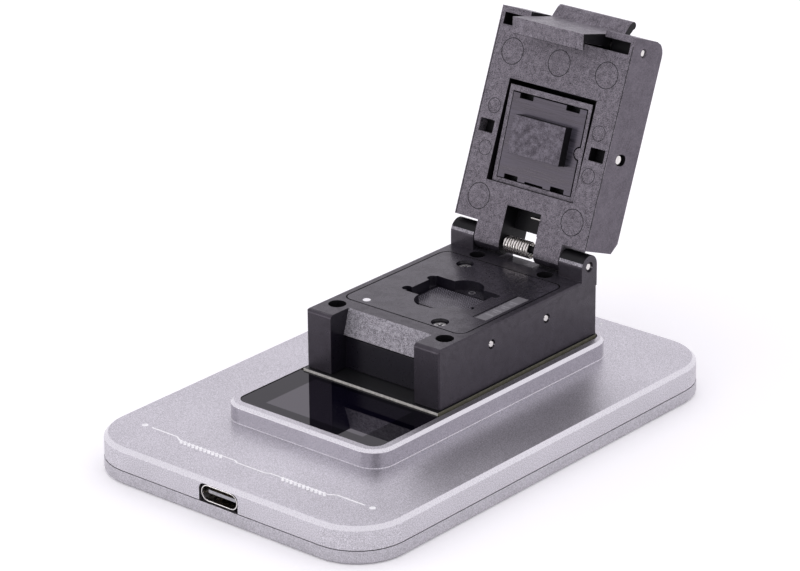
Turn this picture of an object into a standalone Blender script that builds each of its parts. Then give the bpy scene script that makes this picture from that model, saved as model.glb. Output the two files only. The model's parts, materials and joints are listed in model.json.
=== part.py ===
"""Bench programmer: a flat case with a USB-C inlet, a display and a clamshell test socket.

All sizes are in millimetres and are scaled to metres when a mesh is made.
Case axes: X right, Y back (the inlet is at -Y), Z up, Z = 0 on the case's underside.
Lid axes: X right, D from the hinge edge to the latch edge, H out of the inner face.
"""
import math

import bmesh
import bpy
from mathutils import Matrix, Vector

MM = 0.001
GAP = 0.1                      # clearance between neighbouring pieces
RUN = 0.05                     # radial clearance of a pin that turns in its hole

# Case
CASE_X = 70.0
CASE_Y = 106.0
CASE_R = 10.5
CASE_WALL = 2.0
STEP_OUT = 0.1                 # the bottom cover stands this far proud of the top cover
SEAM_Z = 2.76
SIDE_Z = 6.57
TOP_Z = 7.35
CASE_CHAMFER = 0.78
UNDER_CHAMFER = 0.4
FLOOR_Z = 1.5
CEILING_Z = 6.0

# Platform
PLAT_HALF_X = 19.37
PLAT_FRONT = -31.2
PLAT_REAR = 39.6
PLAT_R = 4.5
PLAT_Z = 11.03
PLAT_CHAMFER = 0.59
POCKET_HALF_X = 17.4
POCKET_FRONT = -29.25
POCKET_REAR = 38.75
POCKET_R = 2.3
POCKET_FLOOR = 9.65
PLAT_CEILING = 8.0

# USB-C inlet
USB_CUT_X = 9.53
USB_CUT_TOP = 6.4
USB_CUT_R = 1.2
USB_X = 8.94
USB_Z = 3.26
USB_MID_Z = 4.58
USB_WALL = 0.22
USB_FRONT = -52.75
USB_REAR = -45.5
TONGUE_HALF_X = 3.35
TONGUE_HALF_Z = 0.35

# Display and boards
GLASS_Z = 10.9
GLASS_T = 0.85
GLASS_REAR = -10.85
LCD_HALF_X = 14.2
LCD_FRONT = -26.3
LCD_REAR = -12.7
LCD_BOTTOM = 7.2
BOARD_BOTTOM = 1.8
BOARD_TOP = 2.9
BOARD_HALF_X = 31.0
BOARD_HALF_Y = 42.0
BOARD_TONGUE_X = 9.0
BOARD_TONGUE_Y = -49.3
SOCKET_BOARD_HALF_X = 16.7
SOCKET_BOARD_FRONT = -10.7
SOCKET_BOARD_REAR = 38.4
SOCKET_BOARD_R = 1.2             # rear corners
SOCKET_BOARD_T = 1.6
SOCKET_BOARD_Z = 11.35
HEADER_INNER = 6.6
HEADER_OUTER = 8.9
HEADER_FRONT = 3.0
HEADER_REAR = 24.0

# Socket base
BASE_HALF_X = 16.4
BASE_FRONT = -9.9
BASE_REAR = 38.1
BASE_BOTTOM = 11.45
BASE_TOP = 23.55
BASE_CHAMFER = 0.3
NOTCH_HALF_X = 10.3
RAMP_TOP_Y = -4.6
LIP_Y = -6.2
LIP_Z = 18.45
WALL_Y = -5.55
CATCH_Y = -4.55
CATCH_Z = (17.83, 18.1)         # floor of the slot for the latch's nose, front and back
PLATE_HALF_X = 14.6
PLATE_FRONT = -1.2
PLATE_REAR = 29.6
PLATE_R = 1.8
PLATE_BOTTOM = 20.75
PLATE_GAP = 0.25
RECESS_FLOOR = 19.95
HINGE_CUT_Y = 33.2
HINGE_CUT_Z = 22.35
SCREW_HOLES = ((-13.3, -4.5), (13.3, -4.5), (-8.4, 31.9), (8.4, 31.9))
SCREW_HOLE_R = (1.75, 1.75, 1.62, 1.62)
DOWELS = ((5.7, 19.8), (22.4, 19.6))

# Chip pocket in the floating plate, and the pin block below it
CHIP_HALF_X = 7.5
CHIP_FRONT = 8.8
CHIP_REAR = 18.4
CHIP_DEPTH = 2.0
BLOCK_HALF_X = 8.6
BLOCK_FRONT = 5.5
BLOCK_REAR = 21.8
BLOCK_SHOULDER = 19.8
SEAT_HALF_X = 7.2
SEAT_FRONT = 9.1
SEAT_REAR = 18.1
SEAT_Z = BASE_TOP - CHIP_DEPTH
FINGER_SCOOPS = ((0.5, 16.9, 3.9), (0.0, 8.9, 4.2))
CORNER_RELIEFS = ((-8.1, 10.0, 1.0), (-7.5, 17.0, 1.1), (7.8, 17.5, 0.8), (7.8, 9.9, 0.7))
PLATE_SCREWS = {"front": (7.6, 1.0), "rear": (-7.2, 26.55)}
PLATE_SPRINGS = ((-12.0, 3.0), (12.0, 3.0), (-12.0, 25.5), (12.0, 25.5))

# Hinge
HINGE_Y = 35.7
HINGE_Z = 26.0
EAR_R = 2.4
EAR_INNER = 10.7
PIN_R = 0.75
PIN_HALF_X = 16.1
KNUCKLE_INNER = 4.3
KNUCKLE_OUTER = 10.5
KNUCKLE_R = 2.35
KNUCKLE_TAIL = ((-2.2, -8.4), (1.0, -8.4))
COIL_R = 1.48
COIL_WIRE_R = 0.27
COIL_LEFT = -3.9
COIL_RIGHT = 2.3
COIL_TURNS = 11
COIL_DROP = 0.13               # the slack coil hangs this far below its pin

# Lid, in lid axes
LID_LEAN = 21.0
LID_D = 42.2
LID_T = 9.94
AXIS_D = -2.98
AXIS_H = -2.35
WINDOW_HALF_X = 10.75
WINDOW_D = (8.2, 28.6)
WINDOW_DEPTH = 8.4
PRESS_D = 18.4
PRESS_H = -3.75
PRESS_PIN_R = 1.0
PRESS_SLOT_R = 1.15
PRESS_SLOT_H = (-4.7, -3.8)
SIDE_HOLE_X = (11.9, 15.4)
SIDE_HOLE_D = (17.1, 19.7)
SIDE_HOLE_DEPTH = 2.4
LATCH_SLOT_X = 15.4
LATCH_SLOT_D = (38.6, 41.0)
LATCH_SLOT_DEPTH = 2.6
LATCH_CUT_X = 9.15
HUB_CUT_D = 36.9
HUB_CUT_H = (-6.3, -0.9)
SPRING_WINDOW_X = (-4.3, 4.15)
SPRING_WINDOW_D = 4.4
SPRING_WINDOW_DEPTH = 4.0

# Latch, in lid axes
LATCH_D = 39.5
LATCH_H = -3.6
LATCH_HALF_X = 8.7
TAB_HALF_X = 9.0
LATCH_SPRING_HALF_X = 3.0

# Pressure frame, in lid axes with the frame level
FRAME_TILT = 3.0
FRAME_HALF_X = 10.1
FRAME_D = (8.4, 27.8)
FRAME_FACE_H = -0.45
FRAME_BACK_H = -5.05
INSERT_HALF_X = 9.08
INSERT_D = (9.4, 26.45)
INSERT_T = 1.9
INSERT_GAP = 0.22              # wider clearance at the insert's far side and right side
KEY_X = 9.2
KEY_D = 17.9
KEY_R = 1.15
PUSHER_HALF_X = 6.4
PUSHER_D = (14.7, 22.4)
PUSHER_H = 1.65
PRESS_SPRING_X = 5.0
PRESS_SPRING_R = 1.35

CASE_SCREWS = ((-28.5, -46.5), (28.5, -46.5), (-28.5, 46.5), (28.5, 46.5))


# ---------------------------------------------------------------- scene and materials

def clear_scene():
    for item in list(bpy.data.objects):
        bpy.data.objects.remove(item, do_unlink=True)


def material(name, colour, roughness, metallic=0.0):
    made = bpy.data.materials.new(name)
    made.use_nodes = True
    shader = made.node_tree.nodes["Principled BSDF"]
    shader.inputs["Base Color"].default_value = (*colour, 1.0)
    shader.inputs["Roughness"].default_value = roughness
    shader.inputs["Metallic"].default_value = metallic
    return made


# ---------------------------------------------------------------- outlines

def arc(cx, cy, radius, start, end, steps):
    """Points from angle start to angle end, in degrees, both ends included."""
    angles = [math.radians(start + (end - start) * i / steps) for i in range(steps + 1)]
    return [(cx + radius * math.cos(a), cy + radius * math.sin(a)) for a in angles]


def circle(cx, cy, radius, steps=24):
    return arc(cx, cy, radius, 0.0, 360.0, steps)[:-1]


def rectangle(x0, x1, y0, y1):
    return [(x0, y0), (x1, y0), (x1, y1), (x0, y1)]


def rounded(x0, x1, y0, y1, radius, steps=5):
    return (arc(x1 - radius, y0 + radius, radius, -90, 0, steps)
            + arc(x1 - radius, y1 - radius, radius, 0, 90, steps)
            + arc(x0 + radius, y1 - radius, radius, 90, 180, steps)
            + arc(x0 + radius, y0 + radius, radius, 180, 270, steps))


def chamfered(x0, x1, y0, y1, cut):
    """A rectangle whose corners are cut off straight."""
    return [(x0 + cut, y0), (x1 - cut, y0), (x1, y0 + cut), (x1, y1 - cut),
            (x1 - cut, y1), (x0 + cut, y1), (x0, y1 - cut), (x0, y0 + cut)]


# ---------------------------------------------------------------- solids

def loft(loops):
    """A closed solid through loops of 3-D points that all have the same count."""
    mesh = bmesh.new()
    rings = [[mesh.verts.new(point) for point in loop] for loop in loops]
    mesh.faces.new(rings[0])
    mesh.faces.new(rings[-1])
    for low, high in zip(rings, rings[1:]):
        for i in range(len(low)):
            j = (i + 1) % len(low)
            mesh.faces.new((low[i], low[j], high[j], high[i]))
    bmesh.ops.recalc_face_normals(mesh, faces=mesh.faces)
    return mesh


def along_z(outline, low, high):
    """An (x, y) outline extruded along Z."""
    return loft([[(x, y, z) for x, y in outline] for z in (low, high)])


def along_x(outline, low, high):
    """A (y, z) outline extruded along X."""
    return loft([[(x, y, z) for y, z in outline] for x in (low, high)])


def along_y(outline, low, high):
    """An (x, z) outline extruded along Y."""
    return loft([[(x, y, z) for x, z in outline] for y in (low, high)])


def block(x0, x1, y0, y1, z0, z1):
    return along_z(rectangle(x0, x1, y0, y1), z0, z1)


def turned_z(cx, cy, profile, steps=24):
    """A solid of revolution about a Z line, from (radius, z) pairs going up."""
    return loft([[(x, y, z) for x, y in circle(cx, cy, radius, steps)] for radius, z in profile])


def turned_x(cy, cz, profile, steps=24):
    """A solid of revolution about an X line, from (radius, x) pairs."""
    return loft([[(x, y, z) for y, z in circle(cy, cz, radius, steps)] for radius, x in profile])


def coil(axis_point, along, across, length, radius, wire, turns, steps=10, legs=((), ())):
    """A helical spring as a filled tube; legs are extra points before and after the coil."""
    side = along.cross(across)
    points = [Vector(p) for p in legs[0]]
    for i in range(turns * steps + 1):
        angle = 2.0 * math.pi * i / steps
        ring = across * math.cos(angle) + side * math.sin(angle)
        points.append(axis_point + along * (length * i / (turns * steps)) + ring * radius)
    points += [Vector(p) for p in legs[1]]
    curve = bpy.data.curves.new("coil", "CURVE")
    curve.dimensions = "3D"
    curve.bevel_depth = wire
    curve.bevel_resolution = 1
    curve.use_fill_caps = True
    spline = curve.splines.new("POLY")
    spline.points.add(len(points) - 1)
    for slot, point in zip(spline.points, points):
        slot.co = (*point, 1.0)
    helper = bpy.data.objects.new("coil_helper", curve)
    bpy.context.collection.objects.link(helper)
    tube = bpy.data.meshes.new_from_object(helper.evaluated_get(bpy.context.evaluated_depsgraph_get()))
    bpy.data.objects.remove(helper)
    mesh = bmesh.new()
    mesh.from_mesh(tube)
    bpy.data.meshes.remove(tube)
    bmesh.ops.remove_doubles(mesh, verts=mesh.verts, dist=0.0005)
    bmesh.ops.recalc_face_normals(mesh, faces=mesh.faces)
    return mesh


# ---------------------------------------------------------------- objects

def place(name, mesh, parent, origin):
    """A linked object from a millimetre mesh, with its origin at the given design point."""
    mesh.transform(Matrix.Translation(-Vector(origin)))
    mesh.transform(Matrix.Scale(MM, 4))
    data = bpy.data.meshes.new(name)
    mesh.to_mesh(data)
    mesh.free()
    made = bpy.data.objects.new(name, data)
    bpy.context.collection.objects.link(made)
    if parent is None:
        made.location = Vector(origin) * MM
    else:
        made.parent = parent
    return made


def boolean(target, mesh, operation, origin):
    helper = place(f"{target.name}_{operation.lower()}_{len(target.modifiers)}", mesh, target, origin)
    helper.hide_render = True
    helper.display_type = "WIRE"
    change = target.modifiers.new(operation.title(), "BOOLEAN")
    change.operation = operation
    change.object = helper
    change.solver = "EXACT"


def piece(name, mesh, surface, cuts=(), adds=(), parent=None, origin=(0.0, 0.0, 0.0)):
    made = place(name, mesh, parent, origin)
    made.data.materials.append(surface)
    made.data.shade_smooth()
    made.data.set_sharp_from_angle(angle=math.radians(32.0))
    for extra in adds:
        boolean(made, extra, "UNION", origin)
    for cutter in cuts:
        boolean(made, cutter, "DIFFERENCE", origin)
    return made


def axis_empty(name, location, tilt_x, parent=None):
    """An empty on a joint's axis, turned about X by tilt_x degrees."""
    made = bpy.data.objects.new(name, None)
    bpy.context.collection.objects.link(made)
    made.location = Vector(location) * MM
    made.rotation_euler = (math.radians(tilt_x), 0.0, 0.0)
    made.parent = parent
    return made


# ---------------------------------------------------------------- case

def case_loop(outset, z, steps=8):
    half_x = CASE_X / 2 + outset
    half_y = CASE_Y / 2 + outset
    return [(x, y, z) for x, y in rounded(-half_x, half_x, -half_y, half_y, CASE_R + outset, steps)]


def platform_loop(inset, z):
    outline = rounded(-PLAT_HALF_X + inset, PLAT_HALF_X - inset,
                      PLAT_FRONT + inset, PLAT_REAR - inset, PLAT_R - inset)
    return [(x, y, z) for x, y in outline]


def build_bottom_cover(surface):
    shell = loft([case_loop(STEP_OUT - UNDER_CHAMFER, 0.0), case_loop(STEP_OUT, UNDER_CHAMFER),
                  case_loop(STEP_OUT, SEAM_Z - GAP / 2)])
    tray = loft([case_loop(-CASE_WALL, FLOOR_Z), case_loop(-CASE_WALL, SEAM_Z + 1.0)])
    sinks = [turned_z(x, y, ((2.0, -1.0), (2.0, 0.35), (1.15, 1.0), (1.15, 2.0)))
             for x, y in CASE_SCREWS]
    piece("bottom_cover", shell, surface, cuts=[tray] + sinks)


def build_top_cover(surface):
    shell = loft([case_loop(0.0, SEAM_Z + GAP / 2), case_loop(0.0, SIDE_Z),
                  case_loop(-CASE_CHAMFER, TOP_Z)])
    platform = loft([platform_loop(0.0, SEAM_Z + 2.0), platform_loop(0.0, PLAT_Z - PLAT_CHAMFER),
                     platform_loop(PLAT_CHAMFER, PLAT_Z)])
    cavity = loft([case_loop(-CASE_WALL, SEAM_Z - 1.0), case_loop(-CASE_WALL, CEILING_Z)])
    raised = block(-POCKET_HALF_X, POCKET_HALF_X, POCKET_FRONT + 1.0, POCKET_REAR - 1.0,
                   SEAM_Z, PLAT_CEILING)
    pocket = along_z(rounded(-POCKET_HALF_X, POCKET_HALF_X, POCKET_FRONT, POCKET_REAR, POCKET_R),
                     POCKET_FLOOR, PLAT_Z + 2.0)
    lcd_window = block(-LCD_HALF_X - GAP, LCD_HALF_X + GAP, LCD_FRONT - GAP, LCD_REAR + GAP,
                       SEAM_Z, POCKET_FLOOR + 1.0)
    header_slots = [block(side * HEADER_INNER - side * GAP, side * HEADER_OUTER + side * GAP,
                          HEADER_FRONT - GAP, HEADER_REAR + GAP, SEAM_Z, POCKET_FLOOR + 1.0)
                    for side in (-1, 1)]
    screw_holes = [turned_z(x, y, ((1.05, SEAM_Z), (1.05, POCKET_FLOOR + 1.0)), 16)
                   for x, y in SCREW_HOLES]
    half = USB_CUT_X / 2
    notch = along_y([(-half, SEAM_Z - 1.0), (half, SEAM_Z - 1.0)]
                    + arc(half - USB_CUT_R, USB_CUT_TOP - USB_CUT_R, USB_CUT_R, 0, 90, 5)
                    + arc(USB_CUT_R - half, USB_CUT_TOP - USB_CUT_R, USB_CUT_R, 90, 180, 5),
                    -CASE_Y / 2 - 1.0, USB_REAR + 0.3)
    posts = [turned_z(x, y, ((2.5, FLOOR_Z + GAP), (2.5, CEILING_Z + 0.5))) for x, y in CASE_SCREWS]
    threads = [turned_z(x, y, ((1.1, 0.0), (1.1, 5.9)), 16) for x, y in CASE_SCREWS]
    made = piece("top_cover", shell, surface, adds=[platform],
                 cuts=[cavity, raised, pocket, lcd_window, notch] + header_slots + screw_holes)
    for post in posts:
        boolean(made, post, "UNION", (0.0, 0.0, 0.0))
    for thread in threads:
        boolean(made, thread, "DIFFERENCE", (0.0, 0.0, 0.0))


def build_case_screws(surface):
    for number, (x, y) in enumerate(CASE_SCREWS, 1):
        screw = turned_z(x, y, ((1.85, 0.1), (1.85, 0.4), (1.0, 1.1), (1.0, 5.6)), 20)
        drive = turned_z(x, y, ((0.8, -1.0), (0.8, 0.6)), 6)
        piece(f"case_screw_{number}", screw, surface, cuts=[drive])


# ---------------------------------------------------------------- inlet, display and boards

def racetrack(half_x, half_z, steps=8):
    return (arc(half_x - half_z, USB_MID_Z, half_z, -90, 90, steps)
            + arc(half_z - half_x, USB_MID_Z, half_z, 90, 270, steps))


def build_usb(steel, plastic):
    shell = along_y(racetrack(USB_X / 2, USB_Z / 2), USB_FRONT, USB_REAR)
    mouth = along_y(racetrack(USB_X / 2 - USB_WALL, USB_Z / 2 - USB_WALL),
                    USB_FRONT - 1.0, USB_REAR - 0.5)
    piece("usb_c_shell", shell, steel, cuts=[mouth])
    tongue = block(-TONGUE_HALF_X, TONGUE_HALF_X, USB_FRONT + 0.8, USB_REAR - 0.5 - GAP,
                   USB_MID_Z - TONGUE_HALF_Z, USB_MID_Z + TONGUE_HALF_Z)
    piece("usb_c_tongue", tongue, plastic)


def build_display(glass, dark):
    half = POCKET_HALF_X - GAP
    radius = POCKET_R - GAP
    front = POCKET_FRONT + GAP
    outline = ([(half, GLASS_REAR), (-half, GLASS_REAR)]
               + arc(radius - half, front + radius, radius, 180, 270, 5)
               + arc(half - radius, front + radius, radius, -90, 0, 5))
    piece("display_glass", along_z(outline, GLASS_Z - GLASS_T, GLASS_Z), glass)
    piece("lcd_module", block(-LCD_HALF_X, LCD_HALF_X, LCD_FRONT, LCD_REAR,
                              LCD_BOTTOM, GLASS_Z - GLASS_T - GAP), dark)


def build_boards(green, plastic):
    outline = [(-BOARD_TONGUE_X, BOARD_TONGUE_Y), (BOARD_TONGUE_X, BOARD_TONGUE_Y),
               (BOARD_TONGUE_X, -BOARD_HALF_Y), (BOARD_HALF_X, -BOARD_HALF_Y),
               (BOARD_HALF_X, BOARD_HALF_Y), (-BOARD_HALF_X, BOARD_HALF_Y),
               (-BOARD_HALF_X, -BOARD_HALF_Y), (-BOARD_TONGUE_X, -BOARD_HALF_Y)]
    piece("main_board", along_z(outline, BOARD_BOTTOM, BOARD_TOP), green)
    half = SOCKET_BOARD_HALF_X
    radius = SOCKET_BOARD_R
    outline = ([(-half, SOCKET_BOARD_FRONT), (half, SOCKET_BOARD_FRONT)]
               + arc(half - radius, SOCKET_BOARD_REAR - radius, radius, 0, 90, 5)
               + arc(radius - half, SOCKET_BOARD_REAR - radius, radius, 90, 180, 5))
    upper = along_z(outline, SOCKET_BOARD_Z - SOCKET_BOARD_T, SOCKET_BOARD_Z)
    holes = [turned_z(x, y, ((1.1, POCKET_FLOOR), (1.1, SOCKET_BOARD_Z + 1.0)), 16)
             for x, y in SCREW_HOLES]
    piece("socket_board", upper, green, cuts=holes)
    for side, word in ((-1, "left"), (1, "right")):
        edges = sorted((side * HEADER_INNER, side * HEADER_OUTER))
        piece(f"board_header_{word}",
              block(*edges, HEADER_FRONT, HEADER_REAR, BOARD_TOP + GAP,
                    SOCKET_BOARD_Z - SOCKET_BOARD_T - GAP), plastic)


# ---------------------------------------------------------------- socket base

def ear(side):
    """A hinge ear: upright with a round top about the hinge line."""
    outline = ([(HINGE_Y - EAR_R, BASE_TOP - 2.0), (HINGE_Y + EAR_R, BASE_TOP - 2.0)]
               + arc(HINGE_Y, HINGE_Z, EAR_R, 0, 180, 12))
    return along_x(outline, *sorted((side * EAR_INNER, side * BASE_HALF_X)))


def build_socket_base(surface):
    def loop(inset, z):
        outline = chamfered(-BASE_HALF_X + inset, BASE_HALF_X - inset,
                            BASE_FRONT + inset, BASE_REAR - inset, BASE_CHAMFER)
        return [(x, y, z) for x, y in outline]

    body = loft([loop(0.0, BASE_BOTTOM), loop(0.0, BASE_TOP - BASE_CHAMFER), loop(BASE_CHAMFER, BASE_TOP)])
    notch = along_x([(BASE_FRONT - 1.0, BASE_BOTTOM - 1.0), (WALL_Y, BASE_BOTTOM - 1.0),
                     (WALL_Y, CATCH_Z[0]), (CATCH_Y, CATCH_Z[1]), (CATCH_Y, LIP_Z), (LIP_Y, LIP_Z),
                     (RAMP_TOP_Y, BASE_TOP), (RAMP_TOP_Y, BASE_TOP + 1.0),
                     (BASE_FRONT - 1.0, BASE_TOP + 1.0)], -NOTCH_HALF_X, NOTCH_HALF_X)
    recess = along_z(rounded(-PLATE_HALF_X - PLATE_GAP, PLATE_HALF_X + PLATE_GAP,
                             PLATE_FRONT - PLATE_GAP, PLATE_REAR + PLATE_GAP,
                             PLATE_R + PLATE_GAP), RECESS_FLOOR, BASE_TOP + 1.0)
    shaft = block(-BLOCK_HALF_X - GAP, BLOCK_HALF_X + GAP, BLOCK_FRONT - GAP, BLOCK_REAR + GAP,
                  BASE_BOTTOM - 1.0, BASE_TOP)
    hinge_gap = block(SPRING_WINDOW_X[0] - 0.1, SPRING_WINDOW_X[1] + 0.1, HINGE_CUT_Y,
                      BASE_REAR + 1.0, HINGE_CUT_Z, BASE_TOP + 1.0)
    screw_wells = [turned_z(x, y, ((1.05, BASE_BOTTOM - 1.0), (1.05, 12.8), (radius, 12.8),
                                   (radius, BASE_TOP + 1.0)))
                   for (x, y), radius in zip(SCREW_HOLES, SCREW_HOLE_R)]
    threads = [turned_z(x, y, ((0.9, 15.0), (0.9, BASE_TOP)), 16) for x, y in PLATE_SCREWS.values()]
    seats = [turned_z(x, y, ((1.4, 16.8), (1.4, BASE_TOP)), 16) for x, y in PLATE_SPRINGS]
    dowels = [turned_x(y, z, ((0.95, side * (BASE_HALF_X + 1.0)), (0.95, side * 15.6),
                              (0.77, side * 15.6), (0.77, side * 15.05)))
              for y, z in DOWELS for side in (-1, 1)]
    pin_hole = turned_x(HINGE_Y, HINGE_Z, ((1.05, -BASE_HALF_X - 1.0), (1.05, -15.9),
                                           (PIN_R + RUN, -15.9), (PIN_R + RUN, 15.9),
                                           (1.05, 15.9), (1.05, BASE_HALF_X + 1.0)))
    piece("socket_base", body, surface, adds=[ear(-1), ear(1)],
          cuts=[notch, recess, shaft, hinge_gap, pin_hole] + screw_wells + threads + seats + dowels)


def build_base_hardware(steel, plastic):
    for number, ((x, y), radius) in enumerate(zip(SCREW_HOLES, SCREW_HOLE_R), 1):
        screw = turned_z(x, y, ((0.95, 8.2), (0.95, 12.9), (radius - 0.15, 12.9),
                                (radius - 0.15, 14.4)), 20)
        drive = turned_z(x, y, ((0.8, 13.4), (0.8, 15.0)), 6)
        piece(f"socket_screw_{number}", screw, steel, cuts=[drive])
    number = 0
    for y, z in DOWELS:
        for side in (-1, 1):
            number += 1
            pin = turned_x(y, z, ((0.55, side * 16.25), (0.7, side * 16.1), (0.7, side * 15.1)), 16)
            piece(f"dowel_pin_{number}", pin, steel)
    for word, (x, y) in PLATE_SCREWS.items():
        screw = turned_z(x, y, ((0.8, 15.2), (0.8, 21.9), (1.5, 21.9), (1.5, 22.7), (1.35, 22.9)), 20)
        slots = [along_z(rectangle(x - a, x + a, y - b, y + b), 22.5, 23.2)
                 for a, b in ((0.95, 0.17), (0.17, 0.95))]
        piece(f"plate_screw_{word}", screw, steel, cuts=slots)
    lower = block(-BLOCK_HALF_X, BLOCK_HALF_X, BLOCK_FRONT, BLOCK_REAR,
                  SOCKET_BOARD_Z + GAP, BLOCK_SHOULDER)
    seat = block(-SEAT_HALF_X, SEAT_HALF_X, SEAT_FRONT, SEAT_REAR, BLOCK_SHOULDER - 1.0, SEAT_Z)
    piece("contact_block", lower, plastic, adds=[seat])


def build_adapter_plate(surface, steel):
    plate = along_z(rounded(-PLATE_HALF_X, PLATE_HALF_X, PLATE_FRONT, PLATE_REAR, PLATE_R),
                    PLATE_BOTTOM, BASE_TOP)
    floor = BASE_TOP - CHIP_DEPTH
    through = block(-CHIP_HALF_X, CHIP_HALF_X, CHIP_FRONT, CHIP_REAR, PLATE_BOTTOM - 1.0, BASE_TOP + 1.0)
    scoops = [turned_z(x, y, ((radius, floor), (radius, BASE_TOP + 1.0)), 32)
              for x, y, radius in FINGER_SCOOPS]
    reliefs = [turned_z(x, y, ((radius, floor), (radius, BASE_TOP + 1.0)), 16)
               for x, y, radius in CORNER_RELIEFS]
    bores = [turned_z(x, y, ((1.0, PLATE_BOTTOM - 1.0), (1.0, 21.8), (1.75, 21.8),
                             (1.75, BASE_TOP + 1.0)))
             for x, y in PLATE_SCREWS.values()]
    piece("adapter_plate", plate, surface, cuts=[through] + scoops + reliefs + bores)
    for number, (x, y) in enumerate(PLATE_SPRINGS, 1):
        spring = coil(Vector((x, y, 17.8)), Vector((0, 0, 1)), Vector((1, 0, 0)),
                      2.6, 0.9, 0.2, 3, steps=7)
        piece(f"plate_spring_{number}", spring, steel)


# ---------------------------------------------------------------- hinge

def build_hinge(steel):
    pin = turned_x(HINGE_Y, HINGE_Z, ((PIN_R - 0.15, -PIN_HALF_X), (PIN_R, -PIN_HALF_X + 0.15),
                                      (PIN_R, PIN_HALF_X - 0.15), (PIN_R - 0.15, PIN_HALF_X)))
    piece("hinge_pin", pin, steel, origin=(0.0, HINGE_Y, HINGE_Z))

def build_hinge_spring(steel, parent):
    """A torsion spring: a short leg towards the base and a long bent leg in the lid's recess."""
    middle = AXIS_D - COIL_DROP
    low = AXIS_H - COIL_R
    base_leg = ((COIL_LEFT, middle - 1.3, low),)
    lid_leg = ((COIL_RIGHT + 0.3, middle + 1.6, low + 0.08), (COIL_RIGHT + 1.0, 0.6, low + 0.35),
               (COIL_RIGHT + 1.3, 2.5, low + 0.4), (COIL_RIGHT + 1.0, 2.95, low + 0.4),
               (-0.4, 2.95, low + 0.4))
    spring = coil(Vector((COIL_LEFT, middle, AXIS_H)), Vector((1, 0, 0)), Vector((0, 0, -1)),
                  COIL_RIGHT - COIL_LEFT, COIL_R, COIL_WIRE_R, COIL_TURNS, legs=(base_leg, lid_leg))
    piece("hinge_spring", spring, steel, parent=parent, origin=(0.0, AXIS_D, AXIS_H))


# ---------------------------------------------------------------- lid

def build_lid(surface, parent):
    origin = (0.0, AXIS_D, AXIS_H)
    outline = ([(0.0, 0.0), (LID_D, 0.0)] + arc(LID_D - 1.4, -LID_T + 2.8, 1.4, 0, -30, 2)
               + arc(LID_D - 2.8, -LID_T + 2.8, 2.8, -30, -90, 4) + [(2.1, -LID_T), (0.0, -LID_T + 1.5)])
    body = along_x(outline, -BASE_HALF_X, BASE_HALF_X)
    knuckle = [(1.0, 0.0)] + arc(AXIS_D, AXIS_H, KNUCKLE_R, 90, 270, 12) + list(KNUCKLE_TAIL)
    knuckles = [along_x(knuckle, *sorted((side * KNUCKLE_INNER, side * KNUCKLE_OUTER)))
                for side in (-1, 1)]
    window = block(-WINDOW_HALF_X, WINDOW_HALF_X, *WINDOW_D, -WINDOW_DEPTH, 1.0)
    slot = along_x(arc(PRESS_D, PRESS_SLOT_H[1], PRESS_SLOT_R, 0, 180, 8)
                   + arc(PRESS_D, PRESS_SLOT_H[0], PRESS_SLOT_R, 180, 360, 8), -17.5, 17.5)
    side_holes = [block(*sorted((side * SIDE_HOLE_X[0], side * SIDE_HOLE_X[1])),
                        *SIDE_HOLE_D, -SIDE_HOLE_DEPTH, 1.0) for side in (-1, 1)]
    latch_slot = block(-LATCH_SLOT_X, LATCH_SLOT_X, *LATCH_SLOT_D, -LATCH_SLOT_DEPTH, 1.0)
    latch_cut = block(-LATCH_CUT_X, LATCH_CUT_X, LATCH_SLOT_D[0], LID_D + 1.0, -LID_T - 1.0, 1.0)
    hub_cut = block(-LATCH_CUT_X, LATCH_CUT_X, HUB_CUT_D, LATCH_SLOT_D[0] + 0.5, *HUB_CUT_H)
    pin_hole = turned_x(LATCH_D, LATCH_H, ((0.95, -17.5), (0.95, -15.9), (PIN_R + RUN, -15.9),
                                           (PIN_R + RUN, 15.9), (0.95, 15.9), (0.95, 17.5)))
    hinge_hole = turned_x(AXIS_D, AXIS_H, ((PIN_R + RUN, -17.5), (PIN_R + RUN, 17.5)))
    spring_window = block(*SPRING_WINDOW_X, -3.0, SPRING_WINDOW_D, -SPRING_WINDOW_DEPTH, 1.0)
    seats = [turned_z(side * PRESS_SPRING_X, PRESS_D, ((1.7, -9.6), (1.7, -WINDOW_DEPTH + 1.0)), 20)
             for side in (-1, 1)]
    piece("lid", body, surface, adds=knuckles, parent=parent, origin=origin,
          cuts=[window, slot, latch_cut, hub_cut, latch_slot, pin_hole, hinge_hole, spring_window]
          + side_holes + seats)


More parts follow.
